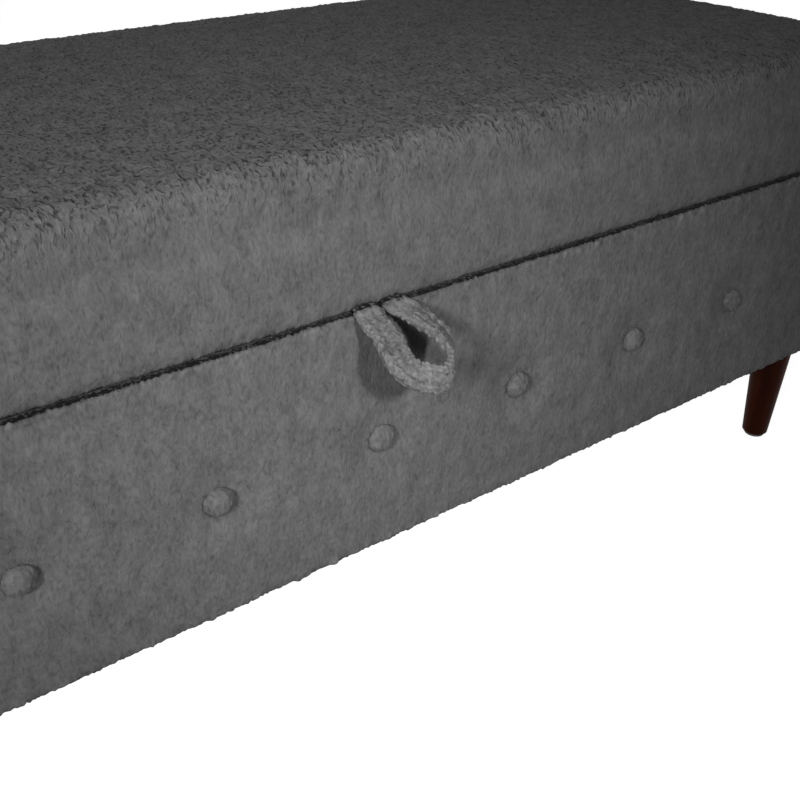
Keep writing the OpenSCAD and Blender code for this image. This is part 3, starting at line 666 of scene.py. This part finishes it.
def pick_edges(piece, wanted):
    """Selects, in edit mode, the edges whose two ends are as wanted."""
    mesh = bmesh.from_edit_mesh(piece.data)
    for edge in mesh.edges:
        edge.select_set(False)
    for edge in mesh.edges:
        if wanted(edge.verts[0].co, edge.verts[1].co):
            edge.select_set(True)
    bmesh.update_edit_mesh(piece.data)


lid_size = Vector(
    (width - 2 * lid_swell, depth - 2 * lid_swell, lid_high.z - lid_crown - lid_base)
)
bpy.ops.mesh.primitive_cube_add(size=1, location=(0, 0, lid_base + lid_size.z / 2))
lid = bpy.context.object
lid.name = "lid_cushion"
lid.scale = lid_size
bpy.ops.object.transform_apply(location=True, scale=True)
lid_top = lid_base + lid_size.z
bpy.ops.object.mode_set(mode="EDIT")
bpy.ops.mesh.select_mode(type="EDGE")
pick_edges(lid, lambda a, b: abs(a.z - b.z) > 0.01)
bpy.ops.mesh.bevel(offset=lid_corner_r, segments=8)
pick_edges(lid, lambda a, b: min(a.z, b.z) > lid_top - 0.0001)
bpy.ops.mesh.bevel(offset=lid_top_r, segments=8)
pick_edges(lid, lambda a, b: max(a.z, b.z) < lid_base + 0.0001)
bpy.ops.mesh.bevel(offset=lid_seam_r, segments=4)
bpy.ops.object.mode_set(mode="OBJECT")
lid.data.remesh_voxel_size = remesh_step
bpy.ops.object.voxel_remesh()


def swell(piece, pressure, stapled, frames):
    """Blows a closed cloth up from where it is stapled and gives each point's movement."""
    start = places(piece)
    give_weights(piece, "stapled", stapled)
    pick(piece)
    made = piece.modifiers.new("cloth", "CLOTH")
    made.settings.vertex_group_mass = "stapled"
    made.settings.use_pressure = True
    made.settings.uniform_pressure_force = pressure
    made.settings.effector_weights.gravity = 0
    for step in range(1, frames + 1):
        scene.frame_set(step)
    bpy.ops.object.modifier_apply(modifier=made.name)
    scene.frame_set(1)
    piece.vertex_groups.remove(piece.vertex_groups["stapled"])
    return places(piece) - start


points = places(lid)
moved = swell(lid, pressure=4, stapled=points[:, 2] < lid_base + 0.001, frames=20)

# The foam holds the cover back: it may rise to the seat's crown and swell a little at the sides
inner = [width / 2 - lid_flat, depth / 2 - lid_flat]
share = np.maximum(np.abs(points[:, 0]) / inner[0], np.abs(points[:, 1]) / inner[1])
crown = lid_crown * np.clip(1 - share**2, 0, 1)
level = (points[:, 2] - lid_base) / lid_size.z
bulge = np.sin(math.pi * np.clip(level, 0, 1))
side = lid_swell * (seam_swell + (1 - seam_swell) * bulge)
rise = np.where(points[:, 2] > lid_top - lid_top_r, crown, 0) + lid_slack
limit = np.stack([side, side, rise], 1)
points += limit * np.tanh(moved / limit)

# Underneath, the cover ends in a fold round the board
board_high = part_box("lid_board")[1]
beneath = points[:, 2] < lid_base + 0.001
fold_edge = np.array([width / 2 - lid_fold, depth / 2 - lid_fold])
past_edge = np.abs(points[:, :2]) - fold_edge
half_step = 0.55 * remesh_step
for axis in range(2):
    near = beneath & (np.abs(past_edge[:, axis]) < half_step)
    near &= past_edge[:, 1 - axis] < half_step
    points[near, axis] = np.sign(points[near, axis]) * fold_edge[axis]
raised = beneath & (past_edge.max(axis=1) < -half_step)
points[raised, 2] = board_high.z + 0.001
set_places(lid, points)
modify(lid, "SUBSURF", levels=1, render_levels=1)

# The seam edge rides up over the two roots of the pull loop
root_x = 0.0115
root_half = 0.0095
root_lift = 0.0024
points, normals = places(lid), directions(lid)
at_front = smooth((-depth / 2 + 0.03 - points[:, 1]) / 0.02)
at_root = np.exp(-(((np.abs(points[:, 0]) - root_x) / root_half) ** 4))
near_seam = 1 - smooth((points[:, 2] - lid_base) / 0.022)
points[:, 2] += root_lift * at_front * at_root * near_seam
set_places(lid, points)

# The curls of the seat lie down gradually on the way over its edge, and more in some places
up = normals[:, 2]
inward = np.minimum(width / 2 - np.abs(points[:, 0]), depth / 2 - np.abs(points[:, 1]))
way = inward - (lid_top - points[:, 2])
way += curl_stray * np.array([noise.noise(Vector(p) * 32) for p in points.tolist()])
on_top = smooth((way + curl_below) / curl_fade) * (up > -0.2)
near_edge = smooth((lid_base + 0.012 - points[:, 2]) / 0.008)
give_weights(lid, "growth", np.where(up < -0.6, 0.05, 0.20 + 0.30 * on_top + 0.25 * near_edge))
# Painted shade under the lid's edge at the seam, reaching over the whole fold underneath
on_seam = points[:, 2] < lid_base + lid_seam_r
give_attribute(lid, "painted_shade", seam_shade * smooth((-up - 0.45) / 0.35) * on_seam)
give_attribute(lid, "curly", 0.25 + 0.75 * on_top)
grow_pile(lid, tuft_size, pile_rise)
bpy.ops.object.shade_smooth()
lid.data.materials.clear()
lid.data.materials.append(cloth)
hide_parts("lid_cover", "lid_foam")
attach(lid, "lid")

# Pull loop
# A strap of the same fabric, its edges folded in so that three soft ridges run along it. It leaves
# the seam twice, hangs out over the middle button and turns its broad side on the way round.
hinge_z = (box_high.z + lid_low.z) / 2
strap_slope = math.radians(25)
strap_turn = math.radians(75)
strap_w = 0.0210
strap_t = 0.0085
strap_root_t = 0.0050
strap_route = np.array([
    (-12, -2), (-12, 3), (-12.5, 9), (-10.5, 20), (-12, 34), (-14, 47), (-11, 58), (-3, 65),
    (7, 68.5), (16, 63.5), (23.5, 51), (27, 36), (24, 24), (20, 12), (15, 5), (12.5, 2),
    (12.5, -2),
]) / 1000
strap_edge_round = 0.62
strap_face_round = 0.55
strap_span = (0.0, 0.1, 0.2, 0.4, 0.5, 0.8, 1.0)
strap_fullness = (1.0, 1.0, 1.0, 1.0, 0.95, 0.92, 1.0)
strap_turn_at = 0.56
strap_turn_half = 0.13
strap_rings = 190
strap_sides = 64
strap_tuft = 0.0029
strap_pile_rise = 0.0016
strap_combing = 1.2
# Painted shade where the strap goes into the seam and along its two grooves
strap_shade = 0.6
groove_shade = 0.16
groove_at = 0.34
groove_half = 0.11
groove_depth = 0.26
join_within = 0.00005


def through(points, share):
    """The place at a share of the way along a smooth curve through the points."""
    at = share * (len(points) - 1)
    i = np.clip(at.astype(int), 0, len(points) - 2)
    u = (at - i)[:, None]
    a, b = points[np.maximum(i - 1, 0)], points[i]
    c, d = points[i + 1], points[np.minimum(i + 2, len(points) - 1)]
    bend, twist = 2 * a - 5 * b + 4 * c - d, 3 * b - a - 3 * c + d
    return 0.5 * (2 * b + (c - a) * u + bend * u**2 + twist * u**3)


bpy.ops.mesh.primitive_grid_add(x_subdivisions=strap_rings, y_subdivisions=strap_sides, size=1)
strap = bpy.context.object
strap.name = "pull_loop_strap"
flat = places(strap)

# A rounded section with two grooves is led along the route and rolls on the way round
along, round_at = flat[:, 0] + 0.5, (flat[:, 1] + 0.5) * 2 * math.pi
middle = through(strap_route, along)
ahead = through(strap_route, np.minimum(along + 0.002, 1))
ahead -= through(strap_route, np.maximum(along - 0.002, 0))
ahead /= np.linalg.norm(ahead, axis=1)[:, None]
full = smooth((middle[:, 1] - 0.003) / 0.018)
roll = strap_turn * ridge(along - strap_turn_at, strap_turn_half)
half_w = strap_w / 2 * np.interp(along, strap_span, strap_fullness)
half_t = (strap_root_t + (strap_t - strap_root_t) * full) / 2
across, out = np.cos(round_at), np.sin(round_at)
across = np.sign(across) * np.abs(across) ** strap_edge_round
out = np.sign(out) * np.abs(out) ** strap_face_round
grooves = ridge(across - groove_at, groove_half) + ridge(across + groove_at, groove_half)
across, out = across * half_w, out * half_t * (1 - groove_depth * grooves)
in_plane = across * np.cos(roll) - out * np.sin(roll)
off_plane = across * np.sin(roll) + out * np.cos(roll)
x = middle[:, 0] + in_plane * ahead[:, 1]
reach = middle[:, 1] - in_plane * ahead[:, 0]
y = -depth / 2 - reach * math.cos(strap_slope) + off_plane * -math.sin(strap_slope)
z = hinge_z - reach * math.sin(strap_slope) + off_plane * math.cos(strap_slope)
set_places(strap, np.stack([x, y, z], 1))
# Painted shade where the strap goes into the seam and in its two grooves
at_seam = strap_shade - strap_shade * smooth((middle[:, 1] + 0.001) / 0.003)
give_attribute(strap, "painted_shade", np.maximum(groove_shade * grooves * full, at_seam))
bpy.ops.object.mode_set(mode="EDIT")
bpy.ops.mesh.select_all(action="SELECT")
bpy.ops.mesh.remove_doubles(threshold=join_within)
bpy.ops.mesh.fill_holes(sides=0)
bpy.ops.mesh.normals_make_consistent(inside=False)
bpy.ops.object.mode_set(mode="OBJECT")
points = places(strap)
give_weights(strap, "growth", 0.3 + 0.7 * smooth((-depth / 2 - 0.004 - points[:, 1]) / 0.008))
give_attribute(strap, "curly", 0.35)
comb_pile(strap_combing)
grow_pile(strap, strap_tuft, strap_pile_rise)
bpy.ops.object.shade_smooth()
loop_cloth = pile_fabric("loop_fabric", greys=(0.008, 0.068, 0.345), combing=strap_combing)
strap.data.materials.append(loop_cloth)
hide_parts("pull_loop")
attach(strap, "loop")

# Ends of the pull loop
# The strap runs on, pressed flat, between the rim and the lid board, where two staples hold each
# end.
tails_low, tails_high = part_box("loop_tails")
tails_size, tails_middle = tails_high - tails_low, (tails_low + tails_high) / 2
tail_w = 0.0178
tail_edge_r = 0.0010
tail_grain = 0.0007
tail_tuft = 0.0034
tail_pile_rise = 0.0010
for side_name, side in (("left", -1), ("right", 1)):
    bpy.ops.object.select_all(action="DESELECT")
    bpy.ops.mesh.primitive_cube_add(
        size=1, location=(side * (tails_size.x - tail_w) / 2, tails_middle.y, tails_middle.z)
    )
    tail = bpy.context.object
    tail.name = f"loop_end_{side_name}"
    tail.scale = (tail_w, tails_size.y, tails_size.z - 0.0004)
    bpy.ops.object.transform_apply(location=True, scale=True)
    bpy.ops.object.mode_set(mode="EDIT")
    bpy.ops.mesh.select_all(action="SELECT")
    bpy.ops.mesh.bevel(offset=tail_edge_r, segments=3)
    bpy.ops.object.mode_set(mode="OBJECT")
    modify(tail, "REMESH", mode="VOXEL", voxel_size=tail_grain)
    give_weights(tail, "growth", 0.5)
    give_attribute(tail, "curly", 0.35)
    # Painted shade on the strap's ends between the rim and the lid board, darkest at their front
    # edge
    give_attribute(tail, "painted_shade", 1.0 - 0.6 * smooth((places(tail)[:, 1] - tails_low.y) / 0.006))
    grow_pile(tail, tail_tuft, tail_pile_rise)
    bpy.ops.object.shade_smooth()
    tail.data.materials.append(loop_cloth)
    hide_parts("loop_tails")
    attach(tail, "lid")
bpy.data.objects.remove(combed)

# Wall lining
# A band of black lining cloth round the inside of the box, taken across the glue blocks in the
# corners. Its upper edge is turned over and stitched, and the band is glued to the panels.
lining = new_material("lining_cloth", Roughness=0.85, Specular_IOR_Level=0.25, Sheen_Weight=0.08)
tree = lining.node_tree
thread_pitch = 0.0011
warp, weft, hem = (
    add_node(tree, "Attribute", attribute_name=name).outputs["Fac"]
    for name in ("warp", "weft", "hem")
)
threads = []
for along in (warp, weft):
    turn = add_node(
        tree, "Math", {0: along, 1: 2 * math.pi / thread_pitch}, operation="MULTIPLY"
    ).outputs[0]
    threads.append(add_node(tree, "Math", {0: turn}, operation="SINE").outputs[0])
weave = add_node(tree, "Math", {0: threads[0], 1: threads[1]}, operation="MULTIPLY").outputs[0]
slub = add_node(
    tree,
    "TexNoise",
    {"Vector": scaled_coordinates(tree, (260, 260, 900)), "Scale": 1.0, "Detail": 3},
).outputs["Fac"]
worn = add_node(
    tree,
    "TexNoise",
    {"Vector": scaled_coordinates(tree, (14, 14, 14)), "Scale": 1.0, "Detail": 4},
).outputs["Fac"]
tone = 0.0
for value, share in ((weave, 0.14), (slub, 0.55), (worn, 0.45), (hem, -0.25)):
    tone = add_node(
        tree, "Math", {0: value, 1: share, 2: tone}, operation="MULTIPLY_ADD"
    ).outputs[0]
paint(tree, ramp(tree, tone, [(0.2, (0.0055, 0.0055, 0.0058)), (0.8, (0.024, 0.024, 0.025))]))
relief = add_node(tree, "Math", {0: slub, 1: 0.5, 2: weave}, operation="MULTIPLY_ADD").outputs[0]
bump(tree, relief, 0.00022, 0.6)


def lay_sheet(name, cut, counts):
    """A flat cloth of that size; gives the piece and its warp and weft in metres."""
    bpy.ops.object.select_all(action="DESELECT")
    bpy.ops.mesh.primitive_grid_add(x_subdivisions=counts[0], y_subdivisions=counts[1], size=1)
    piece = bpy.context.object
    piece.name = name
    flat = places(piece)
    warp, weft = flat[:, 0] * cut[0], flat[:, 1] * cut[1]
    give_attribute(piece, "warp", warp)
    give_attribute(piece, "weft", weft)
    return piece, warp, weft


def wrinkles(points, scale, seed):
    """A soft unevenness between -1 and 1 at each point."""
    shift = Vector((seed, 0, 0))
    return np.array([noise.noise(Vector(p) * scale + shift) for p in points.tolist()])


wall_low, wall_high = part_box("wall_lining")
block_leg = 0.028
band_low, band_high = wall_low.z - 0.0007, wall_high.z - 0.0002
band_h = band_high - band_low
hem_h = 0.009
hem_rise = 0.0003
stitch_half = 0.0012
band_t = 0.0010
corner_ease = 0.004
clear = 0.0007
far_x, far_y = wall_high.x - clear, wall_high.y - clear
corners = [
    (0, -far_y), (far_x - block_leg, -far_y), (far_x, block_leg - far_y),
    (far_x, far_y - block_leg), (far_x - block_leg, far_y), (block_leg - far_x, far_y),
    (-far_x, far_y - block_leg), (-far_x, block_leg - far_y), (block_leg - far_x, -far_y),
    (0, -far_y),
]
corner_at = np.concatenate([[0], np.cumsum(np.linalg.norm(np.diff(corners, axis=0), axis=1))])
band, warp, weft = lay_sheet("box_lining_band", (corner_at[-1], band_h), counts=(760, 44))

# It follows the walls with its corners eased, and its hem stands proud above a stitched row
place_at = (warp + corner_at[-1] / 2)[:, None] + np.linspace(-corner_ease, corner_ease, 9)
place_at %= corner_at[-1]
x = np.interp(place_at, corner_at, [p[0] for p in corners]).mean(axis=1)
y = np.interp(place_at, corner_at, [p[1] for p in corners]).mean(axis=1)
z = weft + (band_low + band_high) / 2
points = np.stack([x, y, z], 1)
from_top = band_h / 2 - weft
on_hem = (from_top < hem_h).astype(float)
stitch_row = ridge(from_top - hem_h + 0.0015, stitch_half)
loose = smooth(from_top / 0.02) * smooth((band_h - from_top) / 0.02)
rise = 0.0004 * loose * wrinkles(points * [1, 1, 0.35], scale=22, seed=0)
rise += hem_rise * on_hem - hem_rise * stitch_row
inward = -np.stack([x / far_x, y / far_y], 1)
inward = np.where(np.abs(inward) > 0.97, inward, 0)
points[:, :2] += inward * rise[:, None]
set_places(band, points)
give_attribute(band, "hem", stitch_row)
bpy.ops.object.mode_set(mode="EDIT")
bpy.ops.mesh.select_all(action="SELECT")
bpy.ops.mesh.remove_doubles(threshold=join_within)
bpy.ops.mesh.normals_make_consistent(inside=False)
bpy.ops.object.mode_set(mode="OBJECT")
modify(band, "SOLIDIFY", thickness=band_t, offset=0)
bpy.ops.object.shade_smooth()
band.data.materials.append(lining)
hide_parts("wall_lining")
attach(band, "base")

# Floor mat
# Thin wadding in the same cloth, cut to the size of the room and laid on the bottom board, where
# its pressed edge lies under the wall lining.
mat_low, mat_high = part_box("floor_mat")
mat_size = (mat_high.x - mat_low.x - 0.0004, mat_high.y - mat_low.y - 0.0004)
mat_t = 0.0024
pressed = 0.0006
mat, warp, weft = lay_sheet("padded_floor_mat", mat_size, counts=(280, 102))
to_edge = np.minimum(mat_size[0] / 2 - np.abs(warp), mat_size[1] / 2 - np.abs(weft))
points = np.stack([warp, weft, np.zeros(len(warp))], 1)
uneven = 0.0003 * wrinkles(points, scale=9, seed=3) * smooth(to_edge / 0.03)
points[:, 2] = mat_high.z - pressed * (1 - smooth(to_edge / 0.012)) + uneven
set_places(mat, points)
give_attribute(mat, "hem", 0.0)
modify(mat, "SOLIDIFY", thickness=mat_t, offset=-1)
bpy.ops.object.shade_smooth()
mat.data.materials.append(lining)
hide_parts("floor_mat")
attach(mat, "base")

# Dust cover
# Thin black cloth stapled over the underside of the bottom board. Its edges are turned in under
# the staples, and it hangs a little in the middle.
dust_low, dust_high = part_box("dust_cover")
dust_size = (dust_high.x - dust_low.x, dust_high.y - dust_low.y)
dust_turn = 0.012
dust_sag = 0.0020
dust_t = 0.0006
dust, warp, weft = lay_sheet("underside_dust_cover", dust_size, counts=(264, 84))
to_edge = np.minimum(dust_size[0] / 2 - np.abs(warp), dust_size[1] / 2 - np.abs(weft))
points = np.stack([warp, weft, np.zeros(len(warp))], 1)
hang = smooth((to_edge - 0.008) / 0.10)
pull = smooth((to_edge - 0.004) / 0.015) * (1 - smooth((to_edge - 0.03) / 0.05))
puckers = 0.0005 * (wrinkles(points, scale=30, seed=5) - 1)
points[:, 2] = dust_high.z - 0.0002 - dust_sag * hang + pull * puckers
set_places(dust, points)
turned_in = ridge(to_edge - dust_turn, stitch_half)
give_attribute(dust, "hem", turned_in)
modify(dust, "SOLIDIFY", thickness=dust_t, offset=-1)
bpy.ops.object.shade_smooth()
dust.data.materials.append(lining)
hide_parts("dust_cover")
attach(dust, "base")

# Lid lining
# The same cloth over card, stapled through its turned edge to the underside of the lid board,
# inside the fold of the seat's cover.
under_low, under_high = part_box("lid_lining")
under_size = (under_high.x - under_low.x + 0.003, under_high.y - under_low.y + 0.003)
under_turn = 0.010
under_t = 0.0010
under, warp, weft = lay_sheet("lid_lining_cloth", under_size, counts=(270, 90))
to_edge = np.minimum(under_size[0] / 2 - np.abs(warp), under_size[1] / 2 - np.abs(weft))
points = np.stack([warp, weft, np.zeros(len(warp))], 1)
turned_in = ridge(to_edge - under_turn, stitch_half)
padding = 0.0004 * smooth((to_edge - under_turn) / 0.02)
padding *= 1 + wrinkles(points, scale=16, seed=8)
points[:, 2] = under_low.z + 0.0001 + padding + 0.0002 * turned_in
set_places(under, points)
give_attribute(under, "hem", turned_in)
modify(under, "SOLIDIFY", thickness=under_t, offset=1)
bpy.ops.object.shade_smooth()
under.data.materials.append(lining)
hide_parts("lid_lining")
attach(under, "lid")

# Button twine
# Waxed polyester twine of three strands, from each button through foam and panel to a knot on its
# washer.
twine = new_material("button_twine", Roughness=0.55, Specular_IOR_Level=0.3)
tree = twine.node_tree
strands = add_node(
    tree,
    "TexWave",
    {"Vector": scaled_coordinates(tree, (1, 1, 1)), "Scale": 240.0, "Distortion": 1.5, "Detail": 2},
    bands_direction="DIAGONAL",
).outputs["Fac"]
paint(tree, ramp(tree, strands, [(0.1, (0.42, 0.39, 0.31)), (0.7, (0.70, 0.67, 0.58))]))
bump(tree, strands, 0.0003, 0.7)
dress(["button_twines"], twine)
